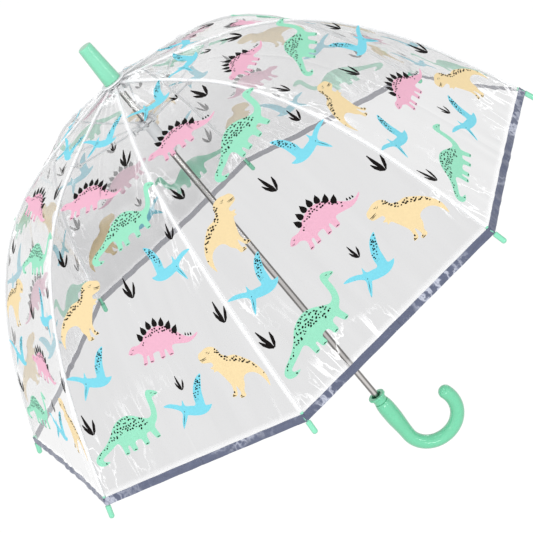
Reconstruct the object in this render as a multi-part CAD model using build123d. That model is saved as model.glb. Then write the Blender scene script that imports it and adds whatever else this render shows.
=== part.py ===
from build123d import *
from math import cos, pi, radians, sin
import os

# Children's dome umbrella: eight curved ribs, clear film gores, a sprung runner and a crook handle.
#
# Millimetres, +Z up along the shaft with the ferrule on top. The origin is on the shaft axis, halfway up the
# handle's straight grip, and +X is the way the crook turns. Rib 1 points along +X and the others follow it
# counter-clockwise, 45 degrees apart. The canopy is drawn open.

# ---------------------------------------------------------------- driving dimensions
rib_count = 8

shaft_diameter = 8.0
shaft_wall = 0.7
grip_length = 68.5  # from the cup's rim down to where the crook starts
shaft_clear_length = 498.0  # from the cup's rim up to the crown wire
shaft_socket = 44.0  # how far the shaft runs down below the cup's rim
shaft_above_crown = 38.0

rib_diameter = 3.0
wire_radius = 9.0  # ring wires in the crown and in the runner
wire_diameter = 1.4
rib_pitch = 9.5  # degrees below level where a rib leaves the crown
rib_arcs = ((120.0, 7.5), (120.0, 28.5), (120.0, 15.5), (118.0, 5.5))  # (length, turn in degrees)
eye_wall = 1.55
rib_eye_length = 3.2
rib_overrun = 10.0  # straight rib end past the hem, inside the tip

film_thickness = 0.4
film_lift = 2.9  # film's inner face above the rib's axis
film_hole_run = 3.6  # how far the film runs inward past the crown wire
binding_width = 9.0
binding_thickness = 0.5

crown_radius = 11.5
crown_depth = 9.0
crown_top = 2.2
crown_hub_wall = 1.9

washer_diameter = 30.0
washer_thickness = 1.4

ferrule_length = 49.0
ferrule_base_diameter = 21.0
ferrule_top_diameter = 16.6
ferrule_round = 2.0
scallop_count = 16
scallop_radius = 1.1

tip_length = 15.5  # below the hem
tip_diameter = 6.0
tip_neck_diameter = 3.9
tip_neck_length = 10.0

clip_run = 100.0  # along the rib from the crown wire
clip_drop = 5.0  # pivot below the rib's axis
clip_length = 8.0
clip_wall = 1.0
clip_tab = 1.4

stretcher_diameter = 2.0
stretcher_side = 4.3  # the outer eye stands this far beside the rib
stretcher_eye_length = 2.4
joggle_start = 14.0
joggle_end = 40.0

runner_drop = 55.0  # runner wire below the crown wire with the canopy open
runner_head = 4.0  # half-height of the slotted head
runner_sleeve_radius = 7.0
runner_sleeve_length = 40.0
runner_rim_radius = 8.6
runner_rim_height = 3.0
slot_floor = 1.3

stop_pin_diameter = 2.0
stop_pin_length = 12.0

catch_width = 1.6
catch_reach = 2.4  # tooth past the shaft's surface
catch_tooth = 8.0
catch_leaf = 1.0
catch_leaf_length = 26.0
catch_azimuth = 22.5

cup_rim_diameter = 22.0
cup_rim_height = 3.0
cup_neck_diameter = 17.0
cup_height = 11.0
cup_recess_diameter = 13.0
cup_recess_depth = 5.0
groove_depth = 0.7
groove_width = 1.2

grip_top_diameter = 17.6
grip_bulge_diameter = 21.4
grip_bulge_below_cup = 23.5
crook_diameter = 17.5
bend_radius = 30.0  # the first, tighter part of the crook
bend_turn = 75.0
crook_radius = 37.5
crook_turn = 123.0

# ---------------------------------------------------------------- clearances
slide_clearance = 0.3  # radial, runner on shaft
press_clearance = 0.05  # radial, pieces fixed to the shaft or to a rib
pivot_clearance = 0.25  # radial, eye on ring wire
side_clearance = 0.3  # each side of an eye in its slot
seat_gap = 0.3  # between a moving piece and its stop
seam_gap = 0.4  # each side of a rib between two gores
lap_gap = 0.12  # between film and binding

# ---------------------------------------------------------------- derived places
step = 360.0 / rib_count
half_step = radians(step / 2)
cup_rim_z = grip_length / 2
crown_z = cup_rim_z + shaft_clear_length
crook_z = cup_rim_z - grip_length
crook_centre_x = bend_radius - (bend_radius - crook_radius) * cos(radians(bend_turn))
crook_centre_z = crook_z + (crook_radius - bend_radius) * sin(radians(bend_turn))
shaft_radius = shaft_diameter / 2
rib_radius = rib_diameter / 2
eye_hole = wire_diameter / 2 + pivot_clearance
eye_radius = eye_hole + eye_wall
runner_z = crown_z - runner_drop
hem_run = sum(length for length, turn in rib_arcs)


def on_rib(run, lift=0.0):
    """Radius, height and pitch (radians) at a run along the rib, lifted outward from its axis."""
    r, z, pitch, left = wire_radius, crown_z, radians(rib_pitch), run
    for length, turn in rib_arcs:
        if left <= 0:
            break
        part = min(length, left)
        bend = radians(turn) * part / length
        bend_radius = length / radians(turn)
        r += bend_radius * (sin(pitch + bend) - sin(pitch))
        z -= bend_radius * (cos(pitch) - cos(pitch + bend))
        pitch += bend
        left -= part
    r += left * cos(pitch) + lift * sin(pitch)
    z -= left * sin(pitch) - lift * cos(pitch)
    return r, z, pitch


def all_round(name, solid, start=0.0):
    """Writes one copy of a solid for each rib, turned about the shaft."""
    for i in range(rib_count):
        save(f"{name}_{i + 1}", Rot(0, 0, start + i * step) * solid)


def save(name, solid):
    export_step(solid, f"parts/{name}.step")


def tube(outer, inner, bottom, top):
    """A ring about the shaft axis from one height to another."""
    height = top - bottom
    ring = Cylinder(outer, height, align=(Align.CENTER, Align.CENTER, Align.MIN))
    hole = Cylinder(inner, height, align=(Align.CENTER, Align.CENTER, Align.MIN))
    return Pos(0, 0, bottom) * (ring - hole)


def cross_pin(radius, length):
    """A cylinder whose axis is tangential (along Y)."""
    return Rot(90, 0, 0) * Cylinder(radius, length)


def slots(width, inner, bottom, top):
    """Radial slots for the eyes, from an inner radius outward."""
    reach = crown_radius * 2
    cutter = Box(reach, width, top - bottom, align=(Align.MIN, Align.CENTER, Align.MIN))
    return [Rot(0, 0, i * step) * Pos(inner, 0, bottom) * cutter for i in range(rib_count)]


def wire_groove(z):
    """The channel that a ring wire lies in, open outward."""
    width = wire_diameter + 2 * press_clearance
    inner = wire_radius - width / 2
    return tube(crown_radius * 2, inner, z - width / 2, z + width / 2)


def ring_wire(z):
    return Pos(0, 0, z) * Torus(wire_radius, wire_diameter / 2)


def rounded_bar(radius, length):
    """A bar along +Z from the origin with a rounded far end."""
    bar = Cylinder(radius, length, align=(Align.CENTER, Align.CENTER, Align.MIN))
    return fillet(bar.edges().group_by(Axis.Z)[-1], radius * 0.9)


# ---------------------------------------------------------------- shaft, crown and ferrule
def make_shaft():
    bottom = cup_rim_z - shaft_socket
    body = tube(shaft_radius, shaft_radius - shaft_wall, bottom, crown_z + shaft_above_crown)
    pin_hole = Rot(0, 0, catch_azimuth) * Rot(0, 90, 0) * Cylinder(
        stop_pin_diameter / 2 + press_clearance, shaft_diameter * 2
    )
    body -= Pos(0, 0, stop_pin_z) * pin_hole
    window = Box(
        shaft_diameter,
        catch_width + 2 * side_clearance,
        catch_tooth + 4 * side_clearance,
        align=(Align.MIN, Align.CENTER, Align.MAX),
    )
    return body - Pos(0, 0, catch_top_z + 2 * side_clearance) * Rot(0, 0, catch_azimuth) * window


def make_crown():
    bottom = crown_z - crown_depth
    top = crown_z + crown_top
    body = tube(crown_radius, shaft_radius + press_clearance, bottom, top)
    body -= wire_groove(crown_z)
    inner = shaft_radius + crown_hub_wall
    return body - slots(rib_eye_length + 2 * side_clearance, inner, bottom, top)


def make_cap_washer():
    body = tube(washer_diameter / 2, shaft_radius + press_clearance, washer_z, washer_z + washer_thickness)
    rim = body.edges().group_by(Axis.Z)[-1].sort_by(SortBy.RADIUS)[-1]
    return fillet(rim, washer_thickness * 0.6)


def make_ferrule():
    bottom = washer_z + washer_thickness
    body = Cone(
        ferrule_base_diameter / 2,
        ferrule_top_diameter / 2,
        ferrule_length,
        align=(Align.CENTER, Align.CENTER, Align.MIN),
    )
    body = fillet(body.edges().group_by(Axis.Z)[-1], ferrule_round)
    bore = Cylinder(
        shaft_radius + press_clearance,
        crown_z + shaft_above_crown - bottom + 2 * seat_gap,
        align=(Align.CENTER, Align.CENTER, Align.MIN),
    )
    body -= bore
    scallop = Pos(ferrule_base_diameter / 2, 0, 0) * Rot(0, 90, 0) * Cylinder(scallop_radius, eye_wall)
    body -= [Rot(0, 0, i * 360 / scallop_count) * scallop for i in range(scallop_count)]
    return Pos(0, 0, bottom) * body


# ---------------------------------------------------------------- ribs, clips, tips and stretchers
def make_rib():
    points = []
    total = 0.0
    for length, turn in rib_arcs:
        points.append((total, total + length / 2, total + length))
        total += length
    start = rib_radius + press_clearance * 2
    edges = []
    for first, middle, last in points:
        first = max(first, start)
        edges.append(
            ThreePointArc(*[(r, 0, z) for r, z, pitch in map(on_rib, (first, (first + last) / 2, last))])
        )
    r, z, pitch = on_rib(hem_run)
    end_r, end_z, pitch = on_rib(hem_run + rib_overrun)
    edges.append(Line((r, 0, z), (end_r, 0, end_z)))
    path = Wire(edges)
    profile = Plane(origin=path @ 0, z_dir=path % 0) * Circle(rib_radius)
    rod = sweep(profile, path=path)
    eye = cross_pin(eye_radius, rib_eye_length) - cross_pin(eye_hole, rib_eye_length * 2)
    return rod + Pos(wire_radius, 0, crown_z) * eye


def make_clip():
    r, z, pitch = on_rib(clip_run)
    outer = rib_radius + clip_wall
    inner = rib_radius + 2 * press_clearance
    sleeve = Rot(0, 90, 0) * (Cylinder(outer, clip_length) - Cylinder(inner, clip_length * 2))
    tab_side = inner / 2
    tab = Box(2 * eye_radius, clip_tab, clip_drop, align=(Align.CENTER, Align.MIN, Align.MAX))
    tab += Pos(0, clip_tab / 2, -clip_drop) * cross_pin(eye_radius, clip_tab)
    tab += Pos(0, clip_tab, -clip_drop) * cross_pin(eye_hole, clip_tab / 2)
    tab = Pos(0, tab_side, 0) * tab
    tab -= Rot(0, 90, 0) * Cylinder(inner, clip_length * 2)
    return Pos(r, 0, z) * Rot(0, pitch * 180 / pi, 0) * (sleeve + tab)


def make_tip():
    r, z, pitch = on_rib(hem_run)
    neck = Pos(0, 0, -tip_neck_length) * Cylinder(
        tip_neck_diameter / 2, tip_neck_length + tip_diameter, align=(Align.CENTER, Align.CENTER, Align.MIN)
    )
    shoulder = binding_thickness * 2 + lap_gap
    head = Pos(0, 0, shoulder) * rounded_bar(tip_diameter / 2, tip_length - shoulder)
    bore = Pos(0, 0, -tip_neck_length) * Cylinder(
        rib_radius + 2 * press_clearance,
        tip_neck_length + rib_overrun + seat_gap,
        align=(Align.CENTER, Align.CENTER, Align.MIN),
    )
    return Pos(r, 0, z) * Rot(0, 90 + pitch * 180 / pi, 0) * (neck + head - bore)


def clip_pivot():
    """Radius and height of the clip's pivot with the canopy open."""
    r, z, pitch = on_rib(clip_run, -clip_drop)
    return r, z


def make_stretcher():
    r, z = clip_pivot()
    reach = ((r - wire_radius) ** 2 + (z - runner_z) ** 2) ** 0.5
    slope = Vector(r - wire_radius, 0, z - runner_z)
    start = eye_hole + press_clearance * 4
    corners = [
        Vector(start, 0, 0),
        Vector(joggle_start, 0, 0),
        Vector(joggle_end, stretcher_side, 0),
        Vector(reach - start, stretcher_side, 0),
    ]
    bar = Pos(corners[1]) * Sphere(stretcher_diameter / 2) + Pos(corners[2]) * Sphere(stretcher_diameter / 2)
    for near, far in zip(corners, corners[1:]):
        length = (far - near).length
        rod = Cylinder(stretcher_diameter / 2, length, align=(Align.CENTER, Align.CENTER, Align.MIN))
        bar += Plane(origin=near, z_dir=far - near) * rod
    eye = cross_pin(eye_radius, stretcher_eye_length) - cross_pin(eye_hole, stretcher_eye_length * 2)
    bar += eye
    bar += Pos(reach, stretcher_side, 0) * eye
    frame = Plane(origin=(wire_radius, 0, runner_z), x_dir=slope, z_dir=Vector(0, 1, 0).cross(slope) * -1)
    return frame * bar


# ---------------------------------------------------------------- runner, stop and catch
def make_runner():
    top = runner_z + runner_head
    bottom = runner_z - runner_head
    bore = shaft_radius + slide_clearance
    foot = bottom - runner_sleeve_length
    body = tube(crown_radius, bore, bottom, top)
    body += tube(runner_sleeve_radius, bore, foot, bottom)
    body += tube(runner_rim_radius, bore, foot, foot + runner_rim_height)
    body -= wire_groove(runner_z)
    width = stretcher_eye_length + 2 * side_clearance
    return body - slots(width, wire_radius - eye_radius - side_clearance, bottom + slot_floor, top)


def make_stop_pin():
    pin = Rot(0, 0, catch_azimuth) * Rot(0, 90, 0) * Cylinder(stop_pin_diameter / 2, stop_pin_length)
    return Pos(0, 0, stop_pin_z) * pin


def make_top_catch():
    """A sprung leaf inside the shaft with a tooth that stands out below the runner."""
    inner = shaft_radius - shaft_wall - 2 * side_clearance
    leaf = Box(catch_leaf, catch_width, catch_leaf_length, align=(Align.MAX, Align.CENTER, Align.MIN))
    leaf = Pos(inner, 0, -catch_tooth) * leaf
    outer = shaft_radius + catch_reach
    tooth = Plane.XZ * Polygon(
        (inner - catch_leaf, 0), (outer, 0), (inner, -catch_tooth), (inner - catch_leaf, -catch_tooth), align=None
    )
    tooth = extrude(tooth, amount=catch_width / 2, both=True)
    return Pos(0, 0, catch_top_z) * Rot(0, 0, catch_azimuth) * (leaf + tooth)


# ---------------------------------------------------------------- film and binding
def gore_strip(low, high, first, last):
    """A curved strip between two ribs: from one lift to another above the ribs, along a run of the rib."""
    count = 28
    runs = [first + (last - first) * i / count for i in range(count + 1)]
    flat = cos(half_step)
    outer = [(on_rib(run, high)[0] * flat, on_rib(run, high)[1]) for run in runs]
    inner = [(on_rib(run, low)[0] * flat, on_rib(run, low)[1]) for run in runs]
    edges = [
        Spline(*outer),
        Line(outer[-1], inner[-1]),
        Spline(*inner),
        Line(inner[0], outer[0]),
    ]
    face = Plane.XZ * make_face(edges)
    reach = on_rib(hem_run, high)[0]
    strip = extrude(face, amount=reach, both=True)
    wedge_near = seam_gap / sin(half_step)
    wedge = Polygon(
        (wedge_near, 0),
        (wedge_near + 2 * reach * flat, -2 * reach * sin(half_step)),
        (wedge_near + 2 * reach * flat, 2 * reach * sin(half_step)),
        align=None,
    )
    return strip & extrude(wedge, amount=2 * crown_z)


def make_film():
    return gore_strip(film_lift, film_lift + film_thickness, -film_hole_run, hem_run)


def make_binding():
    low = film_lift - lap_gap - binding_thickness
    high = film_lift + film_thickness + lap_gap + binding_thickness
    first = hem_run - binding_width + binding_thickness
    outer = gore_strip(low, high, first, hem_run + lap_gap + binding_thickness)
    pocket = gore_strip(low + binding_thickness, high - binding_thickness, first - lap_gap, hem_run + lap_gap)
    return outer - pocket


# ---------------------------------------------------------------- handle
def make_handle_cup():
    rim_bottom = cup_rim_z - cup_rim_height
    bottom = cup_rim_z - cup_height
    bore = shaft_radius + press_clearance
    rim = tube(cup_rim_diameter / 2, cup_recess_diameter / 2, rim_bottom, cup_rim_z)
    rim = fillet(rim.edges().filter_by(GeomType.CIRCLE).sort_by(SortBy.RADIUS)[-2:], cup_rim_height * 0.4)
    neck = tube(cup_neck_diameter / 2, bore, bottom, rim_bottom)
    recess = Pos(0, 0, cup_rim_z) * Cylinder(
        cup_recess_diameter / 2, cup_recess_depth, align=(Align.CENTER, Align.CENTER, Align.MAX)
    )
    groove = tube(cup_rim_diameter, cup_neck_diameter / 2 - groove_depth, bottom, bottom + groove_width)
    return rim + neck - recess - groove


def arc_in_xz(x, z, radius, first, last):
    """An arc round (x, z) that starts straight down at 0 degrees and turns towards +X."""
    turns = [radians(a) for a in (first, (first + last) / 2, last)]
    return ThreePointArc(*[Vector(x - radius * cos(a), 0, z - radius * sin(a)) for a in turns])


def make_handle():
    top = cup_rim_z - cup_height
    bulge_z = top - grip_bulge_below_cup
    outline = Spline(
        (grip_top_diameter / 2, top),
        (grip_bulge_diameter / 2, bulge_z),
        (crook_diameter / 2, crook_z),
        tangents=((0.35, -1), (0, -1), (0, -1)),
    )
    edges = [outline, Line((crook_diameter / 2, crook_z), (0, crook_z)), Line((0, crook_z), (0, top))]
    edges.append(Line((0, top), (grip_top_diameter / 2, top)))
    grip = revolve(Plane.XZ * make_face(edges), axis=Axis.Z)
    bend = arc_in_xz(bend_radius, crook_z, bend_radius, 0, bend_turn)
    crook = arc_in_xz(crook_centre_x, crook_centre_z, crook_radius, bend_turn, bend_turn + crook_turn)
    path = Wire([bend, crook])
    section = Plane(origin=bend @ 0, z_dir=(0, 0, -1)) * Circle(crook_diameter / 2)
    body = grip + sweep(section, path=path) + Pos(*(crook @ 1)) * Sphere(crook_diameter / 2)
    bore = Pos(0, 0, cup_rim_z - shaft_socket - seat_gap) * Cylinder(
        shaft_radius + press_clearance, shaft_socket, align=(Align.CENTER, Align.CENTER, Align.MIN)
    )
    return body - bore


# heights that several pieces share
washer_z = on_rib(-film_hole_run, film_lift + film_thickness)[1] + seat_gap
stop_pin_z = runner_z + runner_head + seat_gap + stop_pin_diameter / 2
catch_top_z = runner_z - runner_head - runner_sleeve_length - seat_gap

os.makedirs("parts", exist_ok=True)
save("shaft", make_shaft())
save("crown", make_crown())
save("crown_wire", ring_wire(crown_z))
save("cap_washer", make_cap_washer())
save("ferrule", make_ferrule())
save("runner", make_runner())
save("runner_wire", ring_wire(runner_z))
save("stop_pin", make_stop_pin())
save("top_catch", make_top_catch())
save("handle_cup", make_handle_cup())
save("handle", make_handle())
all_round("rib", make_rib())
all_round("clip", make_clip())
all_round("tip", make_tip())
all_round("stretcher", make_stretcher())
all_round("film", make_film(), step / 2)
all_round("binding", make_binding(), step / 2)
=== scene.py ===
# %% [markdown]
# # A child's clear dome umbrella
#
# This lesson dresses a packed mechanical model of an umbrella: the shaft, ribs, runner and crook handle
# already exist and already move. What is missing is everything that makes it look real: clear glossy
# film with a printed pattern, the grey tape round the hem, and the finish of each plastic and metal.
# We load the frame first and keep its size, because nothing we add may change it.

# %% load the frame
import math

import bmesh
import bpy
import numpy as np
from mathutils import Matrix, Vector
from mathutils.geometry import delaunay_2d_cdt


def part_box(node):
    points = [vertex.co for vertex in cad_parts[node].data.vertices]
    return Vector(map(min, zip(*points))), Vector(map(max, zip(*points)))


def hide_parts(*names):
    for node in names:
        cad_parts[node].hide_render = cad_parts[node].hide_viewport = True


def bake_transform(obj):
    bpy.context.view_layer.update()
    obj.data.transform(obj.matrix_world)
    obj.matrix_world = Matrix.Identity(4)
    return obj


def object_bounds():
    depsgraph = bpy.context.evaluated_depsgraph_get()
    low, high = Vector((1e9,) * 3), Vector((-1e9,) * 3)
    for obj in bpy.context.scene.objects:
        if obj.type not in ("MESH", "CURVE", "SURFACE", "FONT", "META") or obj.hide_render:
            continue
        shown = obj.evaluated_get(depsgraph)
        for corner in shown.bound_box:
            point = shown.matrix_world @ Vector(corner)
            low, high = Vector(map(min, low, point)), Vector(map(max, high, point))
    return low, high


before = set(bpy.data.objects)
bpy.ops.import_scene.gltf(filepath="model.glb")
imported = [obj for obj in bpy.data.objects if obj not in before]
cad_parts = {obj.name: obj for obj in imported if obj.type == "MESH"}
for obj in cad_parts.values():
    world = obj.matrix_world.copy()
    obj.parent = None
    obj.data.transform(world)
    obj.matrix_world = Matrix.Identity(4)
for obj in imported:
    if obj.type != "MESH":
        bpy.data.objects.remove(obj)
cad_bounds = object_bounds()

print("size of the frame", cad_bounds)

# %% [markdown]
# ## The curve every gore follows
#
# A rib is a wire bent to four gentle arcs. Everything on the canopy is placed by two numbers: the run
# along the rib from the crown, and how far across the gore a point lies. Working the arcs out once, on
# a fine table, lets numpy look up any point by interpolation.

# %% rib table
RIBS = 8
HALF = math.pi / RIBS  # half the angle between two ribs
ARCS = ((0.120, 7.5), (0.120, 28.5), (0.120, 15.5), (0.118, 5.5))  # length in metres, turn in degrees
FIRST_PITCH = 9.5  # how far a rib dips where it leaves the crown, in degrees
HEM = sum(length for length, turn in ARCS)
crown_low, crown_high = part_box("crown_wire")
CROWN_Z = (crown_low[2] + crown_high[2]) / 2
WIRE_R = 0.009  # radius of the crown wire that the ribs hang on

table_run = np.linspace(-0.006, HEM + 0.02, 1200)
knots = np.cumsum([0.0] + [length for length, turn in ARCS])
turns = np.radians(FIRST_PITCH + np.cumsum([0.0] + [turn for length, turn in ARCS]))
table_pitch = np.interp(table_run, knots, turns)
steps = np.diff(table_run)
middle = (table_pitch[1:] + table_pitch[:-1]) / 2
start = np.searchsorted(table_run, 0.0)
table_r = np.concatenate([[0], np.cumsum(np.cos(middle) * steps)])
table_z = np.concatenate([[0], -np.cumsum(np.sin(middle) * steps)])
table_r += WIRE_R - table_r[start]
table_z += CROWN_Z - table_z[start]
print("hem radius", round(float(np.interp(HEM, table_run, table_r)), 4), "m")


def rib_point(run, lift):
    """Radius and height at a run along a rib.

    The table's point plus lift times the outward normal, which is (sin pitch, cos pitch).
    """
    pitch = np.interp(run, table_run, table_pitch)
    r = np.interp(run, table_run, table_r) + lift * np.sin(pitch)
    z = np.interp(run, table_run, table_z) + lift * np.cos(pitch)
    return r, z


# %% [markdown]
# ## From flat film to a dome
#
# A gore is cut flat and only bends one way, so a print drawn on the flat gore keeps its shape. Across
# the gore a point goes straight sideways; down the gore it follows the rib's curve. On top of that the
# real film is slightly slack: it dips between the ribs, keeps a fold crease down its middle, and has
# small gathers at the crown and ripples near the hem.


# %% gore mapping
def slack(across, run):
    """Outward offset in metres, 0 on the ribs.

    With v the share of the half width: minus a dip of (1 - v^2), plus a crease exp(-|across|) down
    the middle, gathers that fade away from the crown, ripples that grow towards the hem, and faint
    slanting waves where the film is pulled.
    """
    width = np.maximum(np.interp(run, table_run, table_r) * math.sin(HALF), 1e-4)
    v = np.clip(across / width, -1, 1)
    hold = 1 - v**2
    dip = -0.0028 * hold * np.clip(run / 0.10, 0, 1)
    crease = 0.0007 * np.exp(-np.abs(across) / 0.0022) * np.clip(run / 0.12, 0, 1)
    gather = 0.0009 * np.sin(v * 15 + 2.0 * np.sin(run * 40)) * np.exp(-((run - 0.03) / 0.055) ** 2)
    near_hem = np.clip((run - 0.36) / 0.11, 0, 1) ** 2
    ripple = 0.0010 * np.sin(across * 230 + 1.7 * np.sin(across * 71)) * near_hem
    tension = 0.0006 * np.sin((across * 0.55 + run) * 120 + 1.3) * (1 - np.abs(v)) ** 0.5
    pulled = 0.4 * tension * np.clip(run / 0.2, 0, 1)
    return dip + hold * (crease + gather + 0.7 * ripple + pulled)


def on_gore(across, run, lift, gore):
    """Places flat points on gore number `gore`, counted from 0.

    Outward by the rib's radius times cos(half the rib step), then sideways by `across`.
    """
    r, z = rib_point(run, lift + slack(across, run))
    out = r * math.cos(HALF)
    middle_turn = (2 * gore + 1) * HALF
    x = out * math.cos(middle_turn) - across * math.sin(middle_turn)
    y = out * math.sin(middle_turn) + across * math.cos(middle_turn)
    return np.stack([x, y, z], axis=-1)


def half_width(run, lift):
    """From the gore's middle line to its rib: the radius times sin(half the rib step)."""
    return rib_point(run, lift)[0] * math.sin(HALF)


print("half width at the hem", round(float(half_width(np.array(HEM), 0.0)), 4), "m")

# %% [markdown]
# ## Small mesh helpers
#
# Blender reads a mesh fastest as whole arrays, so a grid's faces are built with numpy index arithmetic.
# Each sheet also carries a UV map in real metres and two numbers per point, the distance to the rib and
# to the hem, which its material can read later.


# %% mesh helpers
def new_piece(name, points, faces, *materials):
    """A smooth object at the origin from world points in metres."""
    mesh = bpy.data.meshes.new(name)
    mesh.from_pydata(np.asarray(points).reshape(-1, 3).tolist(), [], [list(face) for face in faces])
    mesh.polygons.foreach_set("use_smooth", np.full(len(mesh.polygons), True))
    for material in materials:
        mesh.materials.append(material)
    piece = bpy.data.objects.new(name, mesh)
    bpy.context.scene.collection.objects.link(piece)
    mesh.update()
    return piece


def grid_faces(rows, cols, wrap=False):
    """Quads of a grid whose points run row by row: (i, j), (i, j+1), (i+1, j+1), (i+1, j)."""
    i = np.arange(rows - 1)[:, None]
    j = np.arange(cols if wrap else cols - 1)[None, :]
    here = i * cols + j
    right = i * cols + (j + 1) % cols
    return np.stack([here, right, right + cols, here + cols], axis=-1).reshape(-1, 4)


def face_outward(piece):
    """Turns every face's normal outwards on a closed piece."""
    shell = bmesh.new()
    shell.from_mesh(piece.data)
    bmesh.ops.recalc_face_normals(shell, faces=shell.faces)
    shell.to_mesh(piece.data)
    shell.free()


def set_uv(piece, uv):
    """A UV map from one pair of metres per point."""
    mesh = piece.data
    corner = np.empty(len(mesh.loops), dtype=np.int32)
    mesh.loops.foreach_get("vertex_index", corner)
    layer = mesh.uv_layers.new(name="FlatFilm")
    layer.data.foreach_set("uv", np.asarray(uv, dtype=np.float32)[corner].ravel())


def set_value(piece, name, values):
    """One number per point that a material can read by its name."""
    layer = piece.data.attributes.new(name, "FLOAT", "POINT")
    layer.data.foreach_set("value", np.asarray(values, dtype=np.float32).ravel())


print("a 3 by 3 grid has", len(grid_faces(3, 3)), "faces, wrapped", len(grid_faces(3, 3, wrap=True)))

# %% [markdown]
# ## Building materials from nodes
#
# Nearly every finish here is a Principled shader with a little procedural variation. A small toolbox
# adds and joins the nodes, so each material cell only says what is special about it.


# %% material helpers
class Nodes:
    """A node tree with short ways to add a node and to join two sockets."""

    def __init__(self, name):
        self.material = bpy.data.materials.new(name)
        self.material.use_nodes = True
        self.tree = self.material.node_tree
        self.tree.nodes.clear()
        self.output = self.add("ShaderNodeOutputMaterial")

    def add(self, kind, **values):
        """A node, with its properties or inputs set by name."""
        node = self.tree.nodes.new(kind)
        for key, value in values.items():
            if hasattr(node, key):
                setattr(node, key, value)
            else:
                node.inputs[key].default_value = value
        return node

    def join(self, source, target):
        """A link from an output to an input."""
        self.tree.links.new(source, target)

    def plastic(self, colour, roughness, coat=0.0, metallic=0.0):
        """The Principled shader, joined to the output."""
        shader = self.add("ShaderNodeBsdfPrincipled")
        shader.inputs["Base Color"].default_value = (*colour, 1)
        shader.inputs["Roughness"].default_value = roughness
        shader.inputs["Metallic"].default_value = metallic
        shader.inputs["Coat Weight"].default_value = coat
        shader.inputs["Coat Roughness"].default_value = 0.05
        self.join(shader.outputs[0], self.output.inputs["Surface"])
        return shader

    def noise(self, scale, detail=3.0, stretch=(1, 1, 1), uv=False):
        """Noise on the piece's own metres; a stretch below 1 draws it out along that axis."""
        place = self.add("ShaderNodeTexCoord")
        turn = self.add("ShaderNodeMapping")
        turn.inputs["Scale"].default_value = stretch
        self.join(place.outputs["UV" if uv else "Object"], turn.inputs["Vector"])
        noise = self.add("ShaderNodeTexNoise")
        noise.inputs["Scale"].default_value = scale
        noise.inputs["Detail"].default_value = detail
        self.join(turn.outputs[0], noise.inputs["Vector"])
        return noise.outputs["Fac"]

    def remap(self, value, low, high, new_low, new_high):
        """Carries low..high to new_low..new_high in a straight line and stops at both ends."""
        node = self.add("ShaderNodeMapRange")
        ends = {"From Min": low, "From Max": high, "To Min": new_low, "To Max": new_high}
        for key, number in ends.items():
            node.inputs[key].default_value = number
        self.join(value, node.inputs["Value"])
        return node.outputs["Result"]

    def tint(self, value, dark, light):
        """A colour between dark and light."""
        ramp = self.add("ShaderNodeValToRGB")
        ramp.color_ramp.elements[0].color = (*dark, 1)
        ramp.color_ramp.elements[1].color = (*light, 1)
        self.join(value, ramp.inputs["Fac"])
        return ramp.outputs["Color"]

    def facing(self, blend):
        """0 where the surface faces the eye, growing to 1 at its outline."""
        return self.add("ShaderNodeLayerWeight", Blend=blend).outputs["Facing"]

    def layer(self, share, colour, other, kind="MIX"):
        """Colour with a share of another one mixed or multiplied in."""
        node = self.add("ShaderNodeMix", data_type="RGBA", blend_type=kind)
        for name, each in (("Factor", share), ("A", colour), ("B", other)):
            if isinstance(each, tuple):
                node.inputs[name].default_value = (*each, 1)
            elif isinstance(each, float):
                node.inputs[name].default_value = each
            else:
                self.join(each, node.inputs[name])
        return node.outputs["Result"]

    def value(self, name):
        """A number that the mesh carries."""
        return self.add("ShaderNodeAttribute", attribute_name=name).outputs["Fac"]

    def maths(self, operation, a, b):
        """One sum on two values, each a socket or a plain number."""
        node = self.add("ShaderNodeMath", operation=operation)
        for socket, each in zip(node.inputs, (a, b)):
            if isinstance(each, (int, float)):
                socket.default_value = each
            else:
                self.join(each, socket)
        return node.outputs[0]

    def times(self, a, b):
        """The product of two values."""
        return self.maths("MULTIPLY", a, b)

    def mix(self, a, share, b):
        """A share of a, plus b."""
        return self.maths("ADD", self.times(a, share), b)

    def largest(self, first, *rest):
        """The largest of several values."""
        for each in rest:
            first = self.maths("MAXIMUM", first, each)
        return first

    def ridge(self, value, width):
        """Thin lines where a noise passes its middle value: 1 on the line, 0 at `width` from it."""
        away = self.maths("ABSOLUTE", self.maths("SUBTRACT", value, 0.5), 0.0)
        return self.remap(away, 0.0, width, 1.0, 0.0)

    def bump(self, value, shader, distance, strength=1.0):
        """Tilts the shader's normal as if the surface rose by value times distance in metres."""
        node = self.add("ShaderNodeBump")
        node.inputs["Distance"].default_value = distance
        node.inputs["Strength"].default_value = strength
        self.join(value, node.inputs["Height"])
        self.join(node.outputs[0], shader.inputs["Normal"])
        return node


print("node helpers ready")

# %% [markdown]
# ## Mint plastic
#
# The handle, the ferrule and the rib tips are one glossy injection-moulded plastic. Moulded plastic is
# never perfectly even: its gloss drifts a little and it has a very faint orange-peel ripple. Towards the
# outline its colour is multiplied by a deep green, a painted shade that gives a round tube its form even
# in soft light. The small mouldings are thinner, so a little light gets through and they look paler than
# the handle.


# %% mint plastic
def make_mint(name, dark, light):
    """Clouded colour, multiplied by a deep green towards the outline as painted shade."""
    kit = Nodes(name)
    shader = kit.plastic(light, 0.28, coat=0.9)
    cloud = kit.tint(kit.noise(38.0, 4.0), dark, light)
    # painted shade: the colour is multiplied by a deep green towards the outline
    edge = kit.remap(kit.facing(0.35), 0.10, 0.70, 0.0, 1.0)
    colour = kit.layer(edge, cloud, (0.30, 0.52, 0.42), "MULTIPLY")
    kit.join(colour, shader.inputs["Base Color"])
    kit.join(kit.remap(kit.noise(120.0, 5.0), 0.3, 0.7, 0.24, 0.36), shader.inputs["Roughness"])
    kit.bump(kit.noise(420.0, 2.0), shader, 0.00004, 0.5)
    return kit.material


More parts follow.
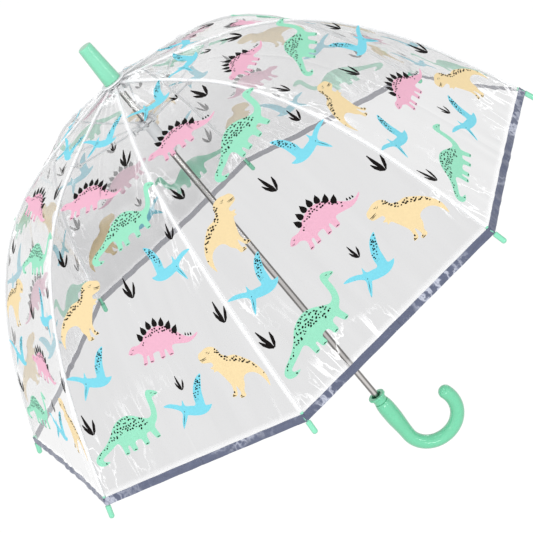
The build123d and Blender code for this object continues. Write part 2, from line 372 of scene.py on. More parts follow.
mint = make_mint("Mint moulding", (0.135, 0.60, 0.35), (0.15, 0.63, 0.37))
pale_mint = make_mint("Pale mint moulding", (0.20, 0.66, 0.43), (0.23, 0.70, 0.47))
print("made", mint.name, "and", pale_mint.name)

# %% [markdown]
# ## Chrome, wire and white mouldings
#
# The shaft is drawn steel tube with a bright finish: long faint draw lines run along it, and it mirrors
# dark and light bands along its length. In a pale studio there is nothing dark to mirror, so a ramp from
# the tube's middle to its outline lays those bands in. The ribs and the stretchers are coated white, and
# the crown and runner are white plastic; both whites are greyed towards their outline as painted shade.
# The two ring wires, the stop pin and the catch are bare steel.


# %% metals and whites
def make_chrome():
    """Grey bands from the middle of the tube to its outline, times fine clouding."""
    kit = Nodes("Chromed shaft")
    shader = kit.plastic((0.62, 0.61, 0.60), 0.16, metallic=1.0)
    lines = kit.noise(900.0, 3.0, stretch=(1, 1, 0.012))
    kit.join(kit.remap(lines, 0.3, 0.7, 0.10, 0.24), shader.inputs["Roughness"])
    ramp = kit.add("ShaderNodeValToRGB")
    stops = ramp.color_ramp.elements
    stops[0].position, stops[0].color = 0.0, (0.80, 0.79, 0.78, 1)
    stops[1].position, stops[1].color = 1.0, (0.30, 0.26, 0.24, 1)
    for place, shade in ((0.12, 0.70), (0.24, 0.22), (0.45, 0.20), (0.70, 0.48)):
        stops.new(place).color = (shade, shade * 0.96, shade * 0.93, 1)
    kit.join(kit.facing(0.5), ramp.inputs["Fac"])
    cloud = kit.tint(kit.noise(30.0, 2.0), (0.86, 0.86, 0.86), (1, 1, 1))
    colour = kit.layer(1.0, ramp.outputs["Color"], cloud, "MULTIPLY")
    kit.join(colour, shader.inputs["Base Color"])
    kit.bump(lines, shader, 0.00002, 0.4)
    return kit.material


def make_wire():
    """Bare wire: clouded grey metal with uneven gloss."""
    kit = Nodes("Plain steel wire")
    shader = kit.plastic((0.45, 0.45, 0.46), 0.32, metallic=1.0)
    kit.join(kit.remap(kit.noise(300.0, 4.0), 0.3, 0.7, 0.22, 0.42), shader.inputs["Roughness"])
    cloud = kit.tint(kit.noise(140.0, 3.0), (0.36, 0.36, 0.37), (0.52, 0.52, 0.53))
    kit.join(cloud, shader.inputs["Base Color"])
    return kit.material


def make_white(name, light, roughness):
    """Clouded white, multiplied by a mid grey towards the outline as painted shade."""
    kit = Nodes(name)
    dark = tuple(c * 0.93 for c in light)
    shader = kit.plastic(light, roughness, coat=0.15)
    # painted shade: the colour is multiplied by a mid grey towards the outline
    edge = kit.remap(kit.facing(0.4), 0.10, 0.80, 0.0, 1.0)
    cloud = kit.tint(kit.noise(60.0, 4.0), dark, light)
    colour = kit.layer(edge, cloud, (0.62, 0.62, 0.64), "MULTIPLY")
    kit.join(colour, shader.inputs["Base Color"])
    uneven = kit.remap(kit.noise(200.0, 3.0), 0.3, 0.7, roughness - 0.06, roughness + 0.08)
    kit.join(uneven, shader.inputs["Roughness"])
    kit.bump(kit.noise(700.0, 2.0), shader, 0.00003, 0.5)
    return kit.material


chrome = make_chrome()
wire = make_wire()
white_coat = make_white("White coated wire", (0.93, 0.94, 0.94), 0.30)
white_plastic = make_white("White moulding", (0.93, 0.94, 0.95), 0.40)
print("made", [each.name for each in (chrome, wire, white_coat, white_plastic)])

# %% [markdown]
# ## Giving the mechanical parts their finish
#
# The frame's own objects stay where they are. Only their material slots change.

# %% dress the frame's parts
FINISH = {
    "shaft": chrome, "crown_wire": wire, "runner_wire": wire, "stop_pin": wire, "top_catch": wire,
    "crown": white_plastic, "runner": white_plastic, "cap_washer": white_plastic,
    "ferrule": pale_mint, "handle": mint, "handle_cup": mint,
}
for i in range(1, RIBS + 1):
    FINISH.update({f"rib_{i}": white_coat, f"stretcher_{i}": white_coat})
    FINISH.update({f"clip_{i}": white_plastic, f"tip_{i}": pale_mint})
for node, material in FINISH.items():
    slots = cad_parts[node].data.materials
    slots.clear()
    slots.append(material)
print("dressed", len(FINISH), "parts")

# %% [markdown]
# ## Clear film
#
# Thin film barely bends light, so it isn't made as solid glass. It is a mix of two things: a pale tint
# that lets light straight through, paler where the film is seen edge on, and a clean gloss that grows
# towards grazing angles. Wrinkles are a bump on the gloss, and the sharpest ones are drawn as thin white
# glints near the ribs, the hem and the crown. Where two layers are welded, along the ribs and above the
# tape, the film is a little milkier.


# %% film material
def make_film():
    """Transparent tint, mixed with white haze on welds and painted glints, under a Fresnel share of
    gloss.
    """
    kit = Nodes("Clear film")
    clear = kit.add("ShaderNodeBsdfTransparent")
    gloss = kit.add("ShaderNodeBsdfAnisotropic")
    gloss.inputs["Roughness"].default_value = 0.10
    gloss.inputs["Color"].default_value = (1, 1, 1, 1)
    milk = kit.add("ShaderNodeBsdfDiffuse")
    milk.inputs["Color"].default_value = (0.95, 0.95, 0.96, 1)
    glow = kit.add("ShaderNodeBsdfTranslucent")
    glow.inputs["Color"].default_value = (0.95, 0.95, 0.96, 1)
    haze = kit.add("ShaderNodeAddShader")
    kit.join(milk.outputs[0], haze.inputs[0])
    kit.join(glow.outputs[0], haze.inputs[1])

    crumple = kit.noise(26.0, 6.0, stretch=(1.0, 0.55, 1.0), uv=True)
    streak = kit.noise(60.0, 3.0, stretch=(1.0, 0.10, 1.0), uv=True)
    patch = kit.noise(9.0, 2.0, uv=True)
    kit.bump(kit.mix(streak, 0.5, crumple), gloss, 0.0016, 0.5)
    veil = kit.tint(streak, (0.72, 0.72, 0.725), (0.80, 0.80, 0.805))
    edge_on = kit.remap(kit.facing(0.5), 0.25, 0.70, 0.0, 1.0)
    kit.join(kit.layer(edge_on, veil, (0.89, 0.89, 0.89)), clear.inputs["Color"])

    rib_gap, hem_gap = kit.value("rib_gap"), kit.value("hem_gap")
    # pale lines, by distance in metres: the weld along each rib, the weld above the tape, the painted
    # glints
    weld = kit.remap(rib_gap, 0.0008, 0.0040, 0.24, 0.0)
    band = kit.remap(hem_gap, 0.0100, 0.0150, 0.12, 0.0)
    near_rib = kit.remap(rib_gap, 0.004, 0.030, 1.0, 0.0)
    near_hem = kit.remap(hem_gap, 0.02, 0.12, 0.65, 0.0)
    near_crown = kit.remap(hem_gap, 0.300, 0.455, 0.0, 1.0)
    edge = kit.largest(near_rib, near_hem, near_crown)
    ridge = kit.ridge(kit.noise(42.0, 2.0, stretch=(1.0, 0.075, 1.0), uv=True), 0.016)
    fleck = kit.ridge(kit.noise(48.0, 4.0, stretch=(1.0, 0.40, 1.0), uv=True), 0.018)
    spread = kit.remap(patch, 0.50, 0.66, 0.0, 1.0)
    # painted highlight: thin white streaks near the ribs, the hem and the crown where wrinkles would
    # catch light
    painted_glint = kit.times(kit.largest(ridge, fleck), kit.times(edge, spread))
    white = kit.largest(weld, band, kit.times(painted_glint, 0.75))
    body = kit.add("ShaderNodeMixShader")
    kit.join(white, body.inputs[0])
    kit.join(clear.outputs[0], body.inputs[1])
    kit.join(haze.outputs[0], body.inputs[2])

    fresnel = kit.add("ShaderNodeFresnel")
    fresnel.inputs["IOR"].default_value = 1.40
    top = kit.add("ShaderNodeMixShader")
    kit.join(kit.remap(fresnel.outputs[0], 0.03, 1.0, 0.006, 0.34), top.inputs[0])
    kit.join(body.outputs[0], top.inputs[1])
    kit.join(gloss.outputs[0], top.inputs[2])
    kit.join(top.outputs[0], kit.output.inputs["Surface"])
    return kit.material


film = make_film()
print("made", film.name, "with", len(film.node_tree.nodes), "nodes")

# %% [markdown]
# ## The film itself, half a gore at a time
#
# When the umbrella closes, each gore folds along its middle crease while its edges stay with the ribs.
# So a gore is built as two halves, each running from its rib to the fold line. Both halves are worked
# out by the same function, so they meet exactly.

# %% film sheets
SIDES = (-1, 1)
FILM_LIFT = 0.0019  # the film lies this far outside the ribs' middle line
FILM_TOP, FILM_END = -0.0036, HEM - 0.001  # it starts under the crown washer and ends inside the tape


def label(kind, gore, side):
    """film_1_a is the half of gore 1 before its fold, film_1_b the half after it."""
    return f"{kind}_{gore + 1}_{'a' if side < 0 else 'b'}"


def fold(piece):
    """Bakes a piece's placement into its points and leaves it at the origin.
    """
    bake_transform(piece)


def film_half(gore, side):
    """A grid of run down the gore by share across it, from the middle line to the rib."""
    rows, cols = 96, 34
    run = np.linspace(FILM_TOP, FILM_END, rows)[:, None] * np.ones((1, cols))
    width = half_width(run, FILM_LIFT)
    share = np.linspace(0, 1, cols)[None, :]
    across = width * (share - 1 if side < 0 else share)
    points = on_gore(across, run, FILM_LIFT, gore)
    faces = grid_faces(rows, cols)[:, ::-1]
    piece = new_piece(label("film", gore, side), points, faces, film)
    set_uv(piece, np.stack([across, run], axis=-1).reshape(-1, 2) + gore * 0.37)
    set_value(piece, "rib_gap", (width - np.abs(across)))
    set_value(piece, "hem_gap", HEM - run)
    return piece


HALVES = [(gore, side) for gore in range(RIBS) for side in SIDES]
film_pieces = {half: film_half(*half) for half in HALVES}
print("film pieces", len(film_pieces))

# %% [markdown]
# ## Hem tape
#
# A satin tape is folded over the film's edge and stitched. Its section is a flat loop that closes on
# itself, carried along the hem with small puckers. The outer half of the loop is satin and the inner
# half is dull lining, so the far side of the hem looks different through the film.


# %% tape material
def make_lining():
    """The tape's dull inner side: a fine weave in the colour, the gloss and the bump."""
    kit = Nodes("Tape lining")
    shader = kit.plastic((0.40, 0.40, 0.43), 0.6)
    weave = kit.noise(900.0, 3.0, stretch=(1.0, 0.3, 1.0), uv=True)
    kit.join(kit.tint(weave, (0.33, 0.33, 0.36), (0.46, 0.46, 0.49)), shader.inputs["Base Color"])
    kit.join(kit.remap(weave, 0.3, 0.7, 0.5, 0.7), shader.inputs["Roughness"])
    kit.bump(weave, shader, 0.0001)
    return kit.material


def make_tape():
    """Grey-blue satin: painted shade in its crumples, pale painted glints in patches, threads in the
    bump.
    """
    kit = Nodes("Grey hem tape")
    shader = kit.plastic((0.12, 0.14, 0.20), 0.34, coat=0.3)
    crumple = kit.noise(95.0, 5.0, stretch=(1.0, 1.8, 1.0), uv=True)
    fine = kit.noise(2600.0, 2.0, stretch=(1.0, 0.25, 1.0), uv=True)
    # painted shade: the colour is darker where the crumple bump is low
    colour = kit.tint(crumple, (0.055, 0.066, 0.115), (0.105, 0.125, 0.21))
    # painted highlight: pale glints along the crumple's creases, in patches
    patch = kit.remap(kit.noise(11.0, 2.0, uv=True), 0.54, 0.64, 0.0, 0.65)
    crease = kit.ridge(kit.noise(85.0, 4.0, stretch=(1.0, 0.7, 1.0), uv=True), 0.07)
    painted_shine = kit.layer(kit.times(crease, patch), colour, (0.72, 0.75, 0.86))
    kit.join(painted_shine, shader.inputs["Base Color"])
    kit.join(kit.remap(fine, 0.3, 0.7, 0.24, 0.46), shader.inputs["Roughness"])
    bump = kit.bump(crumple, shader, 0.0016, 0.9)
    thread = kit.add("ShaderNodeBump")
    thread.inputs["Distance"].default_value = 0.00008
    kit.join(fine, thread.inputs["Height"])
    kit.join(bump.outputs[0], thread.inputs["Normal"])
    kit.join(thread.outputs[0], shader.inputs["Normal"])
    return kit.material


tape = make_tape()
lining = make_lining()
print("made", tape.name, "and", lining.name)

# %% tape pieces
TAPE_WIDTH = 0.0088
TAPE_THICK = 0.0011
TAPE_DROP = 0.0008  # the tape's fold stands this far below the hem line


def squared(wave):
    """Its sign times its size to the power 0.35, which turns a round section nearly square."""
    return np.sign(wave) * np.abs(wave) ** 0.35


def tape_half(gore, side):
    """A squared loop, width by thickness, carried across the gore, with small puckers along it."""
    around, along = 20, 90
    turn = np.linspace(0, 2 * np.pi, around, endpoint=False)
    share = np.linspace(0, 1, along)
    width = half_width(np.array(HEM), FILM_LIFT) + 0.0002
    across = (width * (share - 1 if side < 0 else share))[:, None]
    down = TAPE_WIDTH / 2 * squared(np.cos(turn))[None, :] + HEM - TAPE_WIDTH / 2 + TAPE_DROP
    pucker = 0.00035 * np.sin(across * 900 + 2 * np.sin(across * 210)) * np.sin((down - HEM) * 500)
    lift = FILM_LIFT + TAPE_THICK / 2 * squared(np.sin(turn))[None, :] + pucker
    run = down + 0.00012 * np.sin(across * 160 + gore)
    across = across + 0 * down
    faces = grid_faces(along, around, wrap=True)
    ends = [list(range(around))[::-1], [(along - 1) * around + k for k in range(around)]]
    inner = (np.tile(np.arange(around), along - 1) >= around // 2).astype(np.int32)
    points = on_gore(across, run, lift, gore)
    piece = new_piece(label("tape", gore, side), points, faces.tolist() + ends, tape, lining)
    piece.data.polygons.foreach_set("material_index", np.append(inner, [0, 0]).astype(np.int32))
    face_outward(piece)
    set_uv(piece, np.stack([across, run], axis=-1).reshape(-1, 2) + gore * 0.21)
    return piece


tape_pieces = {half: tape_half(*half) for half in HALVES}
print("tape pieces", len(tape_pieces))

# %% [markdown]
# ## Drawing the dinosaurs
#
# Each animal is a closed smooth line through a few points, in millimetres on the flat film, with +y
# towards the crown. They are simple nursery shapes, drawn for this lesson: a plated one, a long-necked
# one, one on two legs, a flying one and a footprint.

# %% outlines
LONG_NECK = [
    (-36, -25), (-43, -27), (-50, -24.5), (-51.5, -19), (-47, -14.5), (-38, -10.5), (-29, -6),
    (-21, 0), (-14, 6.5), (-5, 11), (5, 12.5), (14, 10), (23, 4.5), (30, 1), (35.5, 3), (38, 9),
    (39, 17), (40, 24), (43.5, 27.5), (49, 26), (54, 22.5), (54, 20), (48.5, 19.5), (45.5, 18),
    (45, 12), (43.5, 4), (40, -3), (34.5, -8), (33.5, -12), (35, -20.5), (30, -21.5), (27.5, -17),
    (25.5, -12.5), (21, -13), (19.5, -16), (19, -23), (13.5, -23.5), (11.5, -16), (5, -15.5),
    (2.5, -18), (2.5, -24), (-3.5, -24.5), (-5, -17.5), (-7.5, -18), (-8.5, -24.5), (-14, -25),
    (-14.5, -15), (-18, -11), (-27, -14), (-36, -17), (-42, -19.5), (-42, -22.5),
]
PLATED = [
    (-44, -4.5), (-42, -1), (-37, 2), (-31, 1.5), (-26, 2.5), (-21, 6.5), (-14, 10.5), (-6, 13),
    (3, 12.5), (11, 9.5), (18, 4), (24, -2.5), (30.5, -8), (37, -10), (44.5, -8), (43, -10.5),
    (36.5, -13.5), (29, -14.5), (20, -12.5), (12.5, -11), (9.5, -13), (8.5, -20), (3, -20.5),
    (1.5, -13), (-1, -13.5), (-2.5, -20), (-8, -20.5), (-7.5, -12.5), (-14, -12), (-16, -14),
    (-17, -20), (-22, -20.5), (-21, -13), (-24, -13), (-26, -20), (-31, -20.5), (-28.5, -11),
    (-33, -6.5), (-39, -6.5),
]
TWO_LEGS = [
    (27, 27.5), (20.5, 29.5), (13.5, 28.5), (9, 24.5), (6.5, 18.5), (0.5, 14.5), (-8, 13),
    (-16, 7.5), (-23, 1.5), (-29, -6.5), (-33, -16.5), (-32, -28), (-29.5, -20.5), (-25, -13),
    (-18.5, -9), (-11, -9), (-7, -12.5), (-5.5, -18), (-2, -23.5), (-1.5, -29), (4.5, -30),
    (6, -27.5), (3, -25.5), (3.5, -20), (5, -17), (6, -21), (8, -26), (13, -26.5), (13, -24),
    (10.5, -22), (9.5, -15), (12, -8), (15, -1.5), (18, 3.5), (22, 3.5), (21.5, 6), (24.5, 8.5),
    (20, 10), (20.5, 13.5), (24, 14.5), (30.5, 16), (32.5, 19), (33, 22.5), (31, 26),
]
FLYER = [
    (-30.5, 9.5), (-22.5, 10), (-14.5, 6.5), (-9.5, 3.5), (-6, 8.5), (-5.5, 2), (0.5, -0.5),
    (6.5, -1.5), (8.5, 6.5), (13, 15.5), (20, 23), (28.5, 26), (25, 18.5), (20.5, 9), (18.5, 0.5),
    (17.5, -5.5), (21.5, -7), (24.5, -7.5), (21, -11), (14.5, -13.5), (7, -13.5), (-1.5, -11),
    (-7.5, -8.5), (-10.5, -11.5), (-19.5, -20), (-17, -12.5), (-12.5, -4), (-18, 2.5),
]


def smooth_line(points, per=4):
    """A closed Catmull-Rom curve.

    Each span is the cubic through its two points whose slopes come from their neighbours.
    """
    p = np.asarray(points, float)
    before, after, beyond = np.roll(p, 1, 0), np.roll(p, -1, 0), np.roll(p, -2, 0)
    t = np.linspace(0, 1, per, endpoint=False)[None, :, None]
    a, b, c, d = before[:, None], p[:, None], after[:, None], beyond[:, None]
    curve = 2 * b + (c - a) * t + (2 * a - 5 * b + 4 * c - d) * t**2
    curve = 0.5 * (curve + (3 * b - a - 3 * c + d) * t**3)
    return curve.reshape(-1, 2)


def drop(x, y, length, width, turn):
    """A teardrop: a circle whose far side is drawn out to a point."""
    a = np.linspace(0, 2 * np.pi, 12, endpoint=False)
    shape = np.stack([width / 2 * np.sin(a) * (1 - 0.45 * np.cos(a)), length / 2 * np.cos(a)], axis=-1)
    shape[0, 1] *= 1.25
    return moved(shape, x, y, turn)


def moved(shape, x=0.0, y=0.0, turn=0.0, scale=1.0, mirror=False):
    """Turns by degrees, mirrors and shifts flat points."""
    shape = np.asarray(shape, float) * (-1 if mirror else 1, 1) * scale
    c, s = math.cos(math.radians(turn)), math.sin(math.radians(turn))
    u, v = shape[:, 0], shape[:, 1]
    return np.stack([u * c - v * s + x, u * s + v * c + y], axis=-1)


def stroke(points, width):
    """A thin line, thickest in its middle, as a closed shape: the path plus and minus its normal."""
    p = np.asarray(points, float)
    along = np.gradient(p, axis=0)
    along /= np.linalg.norm(along, axis=1, keepdims=True)
    side = np.stack([-along[:, 1], along[:, 0]], axis=-1)
    bulge = np.sin(np.linspace(0.25, np.pi - 0.25, len(p)))[:, None] * width / 2
    return np.concatenate([p + side * bulge, (p - side * bulge)[::-1]])


print("outline points", [len(line) for line in (LONG_NECK, PLATED, TWO_LEGS, FLYER)])

# %% [markdown]
# ## Spots, plates and claws
#
# The black details lie on top of the colours. Spots are strewn in a band just under the animal's back:
# a point is kept when it is inside the outline but a small shift upward leaves it. The spots come from
# one seeded generator, so every run draws the same ones.


# %% details
chance = np.random.default_rng(7)


def inside(points, outline):
    """Even-odd test: inside when a ray to the right crosses the outline an odd number of times."""
    x, y = points[:, 0:1], points[:, 1:2]
    x0, y0 = outline[:, 0][None], outline[:, 1][None]
    x1, y1 = np.roll(x0, -1, 1), np.roll(y0, -1, 1)
    cross = (y0 > y) != (y1 > y)
    at = x0 + (y - y0) * (x1 - x0) / np.where(np.abs(y1 - y0) < 1e-9, 1e-9, y1 - y0)
    return (np.sum(cross & (x < at), axis=1) % 2) == 1


def spots(outline, pitch, depth, low, high, size, floor=-99.0):
    """Bean-shaped marks within `depth` under the outline's upper edge, from x = low to x = high.

    They sit on a grid whose rows are offset by half a step, and each is moved a little by chance.
    """
    gx, gy = np.meshgrid(np.arange(low, high, pitch), np.arange(-28, 30, pitch * 0.85))
    gx[::2] += pitch / 2
    p = np.stack([gx.ravel(), gy.ravel()], axis=-1)
    p += chance.uniform(-0.28, 0.28, p.shape) * pitch
    under = inside(p, outline) & inside(p + (0, 0.9), outline) & ~inside(p + (0, depth), outline)
    p = p[under & (p[:, 1] > floor)]
    turns = chance.uniform(-60, 60, len(p))
    sizes = chance.uniform(0.75, 1.2, len(p)) * size
    a = np.linspace(0, 2 * np.pi, 6, endpoint=False)
    bean = np.stack([np.cos(a), 0.68 * np.sin(a)], axis=-1) * 0.5
    return [moved(bean * s, x, y, t) for (x, y), t, s in zip(p, turns, sizes)]


def claws(places):
    """A short level stroke under each foot."""
    return [stroke([(x - 2.2, y), (x, y + 0.25), (x + 2.2, y)], 1.0) for x, y in places]


def strokes(*lines):
    """Several strokes, each given as (width, its points)."""
    return [stroke(points, width) for width, *points in lines]


def long_neck():
    """Spots down the back and the tail, claws, an eye and a smile."""
    outline = smooth_line(LONG_NECK)
    black = spots(outline, 3.7, 15.0, -30, 27, 2.6, floor=-6)
    black += spots(outline, 3.3, 4.6, -47, -30, 2.1)
    black += claws([(32.5, -20.6), (16.2, -22.8), (-0.5, -23.8), (-11.4, -24.3)])
    black += strokes(
        (0.7, (46, 23.6), (47.3, 23.0), (48.6, 23.5)),
        (0.7, (50, 21.4), (52, 20.9), (54, 21.2)),
    )
    return "green", outline, black


def plated():
    """Seven big plates on the back, three small ones on the tail, spots, claws and a face."""
    outline = smooth_line(PLATED)
    big = [
        (-23.5, 8.2, 24), (-17, 13.2, 18), (-9.3, 16.6, 8), (-0.8, 17.2, -4), (7.4, 14.8, -20),
        (14.6, 9.4, -34), (20.4, 3.2, -42),
    ]
    small = [(30.5, -5.6, -12), (33.6, -6.8, -8), (36.6, -7.2, 0)]
    black = spots(outline, 3.6, 7.0, -24, 24, 2.6)
    black += [drop(x, y, 9.0, 6.4, turn) for x, y, turn in big]
    black += [drop(x, y, 3.2, 1.8, turn) for x, y, turn in small]
    black += claws([(-29, -19.7), (-19.6, -19.7), (-5.4, -19.7), (5.6, -19.7)])
    black += strokes(
        (0.7, (-38.5, -1.0), (-37.2, -1.7), (-36, -1.1)),
        (0.6, (-42.5, -4.3), (-40.5, -4.9), (-38.6, -4.2)),
    )
    return "pink", outline, black


def two_legs():
    """Spots on the body, the tail and the neck, claws, a jaw and an eye."""
    outline = smooth_line(TWO_LEGS)
    black = spots(outline, 3.2, 6.4, -18, 8, 2.7)
    black += spots(outline, 3.2, 4.0, -31, -18, 2.3)
    black += spots(outline, 3.0, 6.5, 8, 14, 2.2)
    black += claws([(3.0, -29.4), (11.4, -25.7)])
    black += strokes(
        (1.0, (24, 20.4), (28.5, 19.5), (32.6, 19.6)),
        (0.6, (24, 18.9), (28, 18.3), (31.6, 17.9)),
        (0.7, (19.6, 25.2), (21.2, 24.3), (22.8, 25.0)),
        (0.5, (17.5, 24.4), (19.0, 23.2), (21.0, 22.8)),
    )
    return "yellow", outline, black


def flyer():
    """Spots on the raised wing, a fold line on the other one, an eye and four short lines."""
    outline = smooth_line(FLYER)
    black = spots(outline, 3.0, 11.0, 7, 27, 2.3, floor=3)
    black += strokes((0.6, (-10.5, -6.0), (-13.5, -10.5), (-17.5, -16.5)))
    black.append(drop(-9.6, -3.6, 1.1, 1.0, 0))
    black += [stroke([(x, 1.6), (x + 0.2, 3.6)], 0.5) for x in (8.8, 10.2, 11.6, 13.0)]
    return "blue", outline, black


def footprint():
    """Three toes that meet at the heel."""
    toes = strokes(
        (4.4, (0, -12), (-0.9, -6), (-2.0, 2), (-2.4, 12.5)),
        (3.8, (-0.6, -12), (-3.2, -8), (-5.6, -2.5), (-7.0, 3)),
        (3.8, (0.8, -12), (3.4, -8), (6.0, -2.5), (7.6, 3)),
    )
    return "black", None, toes


animals = {
    "neck": long_neck(), "plated": plated(), "legs": two_legs(), "flyer": flyer(), "foot": footprint(),
}
print("black marks", {name: len(black) for name, (colour, outline, black) in animals.items()})

# %% [markdown]
# ## Laying out one gore
#
# Every gore carries the same print. Each entry gives the animal, its place on the flat gore (across
# from the middle line and down from the crown, in millimetres), its turn in degrees, its size and
# whether it is mirrored.

# %% layout
LAYOUT = [
    ("flyer", -2, 86, -4, 0.93, False), ("foot", 17, 108, 12, 0.55, False),
    ("foot", 37, 135, 6, 1.05, False), ("plated", -13, 160, -5, 0.96, False),
    ("foot", -62, 217, 0, 0.82, False), ("neck", 22, 213, 5, 0.98, False),
    ("foot", 78, 245, 0, 0.75, False), ("legs", -60, 282, -2, 1.02, False),
    ("foot", 7.5, 279, 4, 0.98, False), ("flyer", 64, 277, -8, 0.98, True),
    ("plated", 21, 341, -3, 1.0, False), ("flyer", -78, 348, 0, 0.98, False),
    ("foot", 100, 343, 3, 1.0, False), ("legs", 85, 401, -3, 1.02, True),
    ("neck", -67, 412, 0, 1.02, False), ("flyer", 18, 417, 0, 1.0, False),
    ("foot", 18, 391, 0, 0.68, False), ("foot", -107.5, 392, 2, 1.0, False),
]
COLOURS = ["pink", "green", "yellow", "blue", "black"]
SMALL = 12  # a mark smaller than this, in millimetres, needs no points inside it
GRID, GRID_START = 7, 3  # spacing of the inner points, and where they start


def fill(shape, side):
    """Triangles that fill a closed flat line on one side of the gore's middle.

    A Delaunay mesh of the line, of a grid inside it and of the middle line, so that a print which
    crosses the fold is cut exactly there.
    """
    keep = -1 if side < 0 else 1
    if (shape[:, 0] * keep).max() <= 0:
        return np.zeros((0, 2)), np.zeros((0, 3), int)
    count = len(shape)
    edges = [(k, (k + 1) % count) for k in range(count)]
    low, high = shape.min(0), shape.max(0)
    points = shape.tolist()
    if (high - low).max() > SMALL:
        gx, gy = (np.arange(low[k] + GRID_START, high[k], GRID) for k in range(2))
        gx, gy = np.meshgrid(gx, gy)
        grid = np.stack([gx.ravel(), gy.ravel()], axis=-1)
        points += grid[inside(grid, shape) & (np.abs(grid[:, 0]) > 1)].tolist()
    if low[0] < 0 < high[0]:
        points += [(0, low[1] - 1), (0, high[1] + 1)]
        edges.append((len(points) - 2, len(points) - 1))
    corners = [Vector(p) for p in points]
    flat, _, faces, *_ = delaunay_2d_cdt(corners, edges, [list(range(count))], 1, 1e-5)
    flat = np.array([tuple(p) for p in flat])
    faces = np.array([f for f in faces if len(f) == 3], int).reshape(-1, 3)
    centre = flat[faces].mean(1)
    faces = faces[(centre[:, 0] * keep > 0) & inside(centre, shape)]
    a, b, c = (flat[faces[:, k]] for k in range(3))
    area = (b - a)[:, 0] * (c - a)[:, 1] - (b - a)[:, 1] * (c - a)[:, 0]
    faces[area < 0] = faces[area < 0][:, ::-1]
    return flat, faces[np.abs(area) > 1e-4]


def flat_print(side):
    """All shapes on one half gore.

    Flat points in millimetres, triangles, a colour number per triangle and a layer per point.
    """
    points, faces, colours, layers, total = [], [], [], [], 0
    for name, x, y, turn, scale, mirror in LAYOUT:
        colour, outline, black = animals[name]
        shapes = [(colour, outline, 0)] if outline is not None else []
        shapes += [("black", mark, 1) for mark in black]
        for ink, line, layer in shapes:
            line = moved(line, 0, 0, turn, scale, mirror) + (x, -y)
            flat, tris = fill(line, side)
            if len(tris):
                points.append(flat)
                faces.append(tris + total)
                colours.append(np.full(len(tris), COLOURS.index(ink)))
                layers.append(np.full(len(flat), layer))
                total += len(flat)
    return [np.concatenate(each) for each in (points, faces, colours, layers)]


flat_prints = {side: flat_print(side) for side in SIDES}
print("triangles in half prints", {side: len(flat[1]) for side, flat in flat_prints.items()})

# %% [markdown]
# ## Printing inks
#
# Screen ink on film is a thin matt layer with slightly uneven cover. So each colour drifts a little, has
# hardly any gloss of its own, and is partly lit from behind, as light that comes through it shows.


# %% inks
def make_ink(name, colour):
    """Matt grainy colour, three parts in ten of it lit from behind."""
    kit = Nodes(name)
    shader = kit.plastic(colour, 0.55)
    shader.inputs["Specular IOR Level"].default_value = 0.12
    grain = kit.noise(420.0, 4.0)
    cover = kit.tint(grain, tuple(c * 0.90 for c in colour), colour)
    kit.join(cover, shader.inputs["Base Color"])
    glow = kit.add("ShaderNodeBsdfTranslucent")
    kit.join(cover, glow.inputs["Color"])
    mix = kit.add("ShaderNodeMixShader")
    mix.inputs[0].default_value = 0.30
    kit.join(shader.outputs[0], mix.inputs[1])
    kit.join(glow.outputs[0], mix.inputs[2])
    kit.join(mix.outputs[0], kit.output.inputs["Surface"])
    kit.join(kit.remap(grain, 0.3, 0.7, 0.45, 0.65), shader.inputs["Roughness"])
    return kit.material


INKS = {
    "pink": (0.88, 0.48, 0.62), "green": (0.34, 0.79, 0.57), "yellow": (0.92, 0.73, 0.42),
    "blue": (0.22, 0.71, 0.85), "black": (0.006, 0.004, 0.004),
}
inks = [make_ink(f"Ink {name}", INKS[name]) for name in COLOURS]
print("made", [each.name for each in inks])

# %% [markdown]
# ## Laying the print on the film
#
# The flat triangles go through the same mapping as the film, a hair further out, so the print follows
# every dip and ripple. The black marks lie one more layer out than the colours.

# %% print pieces
LAYER = 0.00012  # thickness of one layer of ink
PRINT_LIFT = FILM_LIFT + LAYER


def print_half(gore, side):
    """The flat print of one side, from millimetres to metres and carried onto its gore."""
    flat, faces, colours, layers = flat_prints[side]
    points = on_gore(flat[:, 0] / 1000, -flat[:, 1] / 1000, PRINT_LIFT + LAYER * layers, gore)
    piece = new_piece(label("print", gore, side), points, faces, *inks)
    piece.data.polygons.foreach_set("material_index", colours.astype(np.int32))
    piece.data.update()
    return piece


print_pieces = {half: print_half(*half) for half in HALVES}
print("print pieces", len(print_pieces))

# %% [markdown]
# ## Standing in for the frame's solids
#
# The soft pieces have their placement baked into their points and stand in for the plain solids of the
# frame, which are hidden.

# %% bake and stand in
for half, piece in film_pieces.items():
    gore, side = half
    carried = [tape_pieces[half], print_pieces[half]]
    for each in (piece, *carried):
        fold(each)
    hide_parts(f"film_{gore + 1}")
    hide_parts(f"binding_{gore + 1}")

# %% [markdown]
# ## Floor and sky
#
# The floor is plain and pale and lies well below, so the clear film shows its own faint grey against
# it and casts hardly any shadow. The sky is white all round and brightest high up on the camera's left,
# which gives every glossy face a soft change of tone.

# %% stage
SKY = {"From Min": -0.5, "From Max": 1.0, "To Min": 0.82, "To Max": 1.28}
SKY_BRIGHT = Vector((-0.62, -0.30, 0.72)).normalized()  # the direction where the sky is brightest
FLOOR_DROP = 1.4  # metres between the crook and the floor
FLOOR_REACH = 30.0  # half the floor's width


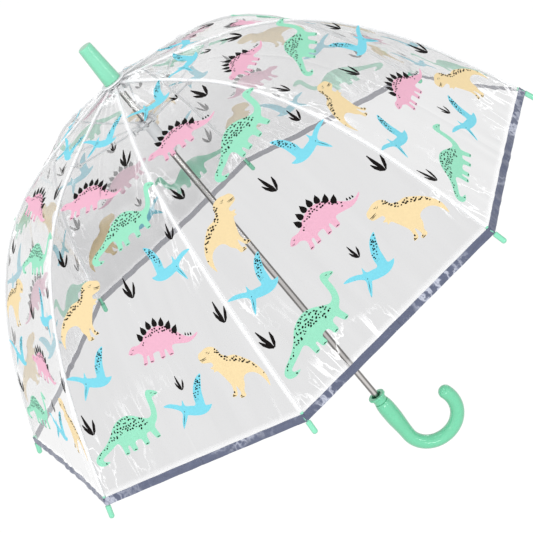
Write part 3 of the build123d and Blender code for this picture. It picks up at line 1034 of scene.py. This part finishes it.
def make_floor():
    """One wide square of matt pale grey, level with the ground."""
    z = cad_bounds[0][2] - FLOOR_DROP
    corners = [(x * FLOOR_REACH, y * FLOOR_REACH, z) for x, y in ((-1, -1), (1, -1), (1, 1), (-1, 1))]
    mesh = bpy.data.meshes.new("floor")
    mesh.from_pydata(corners, [], [(0, 1, 2, 3)])
    kit = Nodes("Pale floor")
    ground = kit.plastic((0.90, 0.90, 0.90), 0.9)
    ground.inputs["Specular IOR Level"].default_value = 0.0
    mottle = kit.tint(kit.noise(3.0, 2.0), (0.895, 0.895, 0.895), (0.905, 0.905, 0.905))
    kit.join(mottle, ground.inputs["Base Color"])
    mesh.materials.append(kit.material)
    floor = bpy.data.objects.new("floor", mesh)
    bpy.context.scene.collection.objects.link(floor)
    return floor


def make_sky():
    """White light whose strength follows the dot product of each direction with SKY_BRIGHT."""
    world = bpy.data.worlds.new("Studio")
    bpy.context.scene.world = world
    world.use_nodes = True
    nodes, links = world.node_tree.nodes, world.node_tree.links
    place = nodes.new("ShaderNodeTexCoord")
    toward = nodes.new("ShaderNodeVectorMath")
    toward.operation = "DOT_PRODUCT"
    toward.inputs[1].default_value = SKY_BRIGHT
    level = nodes.new("ShaderNodeMapRange")
    for key, number in SKY.items():
        level.inputs[key].default_value = number
    links.new(place.outputs["Generated"], toward.inputs[0])
    links.new(toward.outputs["Value"], level.inputs["Value"])
    links.new(level.outputs["Result"], nodes["Background"].inputs["Strength"])
    nodes["Background"].inputs["Color"].default_value = (1, 1, 1, 1)
    return world


floor = make_floor()
print("stage", floor.name, "and", make_sky().name)

# %% [markdown]
# ## Camera
#
# The camera stands a little above the dome and to one side, far enough away for a gentle perspective,
# and is rolled so that the umbrella lies across the picture.

# %% camera
TURN, RISE, ROLL = math.radians(11.15), math.radians(22.36), math.radians(-39.99)
DISTANCE = 2.121  # metres from the point it looks at
FOCAL, SENSOR = 124.5006, 36.0  # millimetres
AIM_BELOW_CROWN = 0.2796
AIM_ASIDE = 0.0015

back = Vector((math.sin(TURN) * math.cos(RISE), -math.cos(TURN) * math.cos(RISE), math.sin(RISE)))
right = Vector((0, 0, 1)).cross(back).normalized()
up = back.cross(right)
turned_right = math.cos(ROLL) * right + math.sin(ROLL) * up
turned_up = -math.sin(ROLL) * right + math.cos(ROLL) * up
aside = Vector((math.cos(TURN), math.sin(TURN), 0)) * AIM_ASIDE
target = Vector((0, 0, CROWN_Z - AIM_BELOW_CROWN)) - aside

lens = bpy.data.cameras.new("camera")
lens.sensor_width = SENSOR
lens.lens = FOCAL
camera = bpy.data.objects.new("camera", lens)
bpy.context.scene.collection.objects.link(camera)
bpy.context.scene.camera = camera
axes = Matrix((turned_right, turned_up, back)).transposed()
camera.matrix_world = Matrix.Translation(target + back * DISTANCE) @ axes.to_4x4()
bpy.context.scene.view_settings.view_transform = "Standard"
print("lens", round(lens.lens, 1), "mm")

# %% [markdown]
# ## Lights
#
# Clear film only shows where it mirrors something. Five long slim lamps stand round the dome, so each
# wrinkle that turns towards one of them catches a thin bright line, while the rest stays clear. Their
# places are given by shares of the picture's right, its up and the way back to the camera.

# %% lights
LIGHTS = (
    ("key", (-0.7, 0.9, 0.9), 2.4, (1.0, 0.12), 4.0),
    ("left strip", (-1.0, -0.1, 0.7), 2.2, (0.10, 1.1), 3.2),
    ("right strip", (0.9, 0.1, 0.9), 2.0, (0.10, 1.0), 3.0),
    ("low strip", (0.35, -0.55, 1.0), 1.7, (0.7, 0.09), 2.6),
    ("rim", (0.4, 1.0, -0.7), 2.4, (1.3, 0.12), 4.0),
)


def soft_light(name, place, aim, size, power):
    """A rectangular lamp at a place, turned to face the aim; size in metres and power in watts."""
    lamp = bpy.data.lights.new(name, "AREA")
    lamp.shape = "RECTANGLE"
    lamp.size, lamp.size_y = size
    lamp.energy = power
    holder = bpy.data.objects.new(name, lamp)
    holder.location = place
    holder.rotation_euler = (aim - place).to_track_quat("-Z", "Y").to_euler()
    bpy.context.scene.collection.objects.link(holder)


for name, (right_share, up_share, back_share), away, size, power in LIGHTS:
    toward_light = turned_right * right_share + turned_up * up_share + back * back_share
    soft_light(name, target + toward_light.normalized() * away, target, size, power)
print(len(LIGHTS), "strip lights")
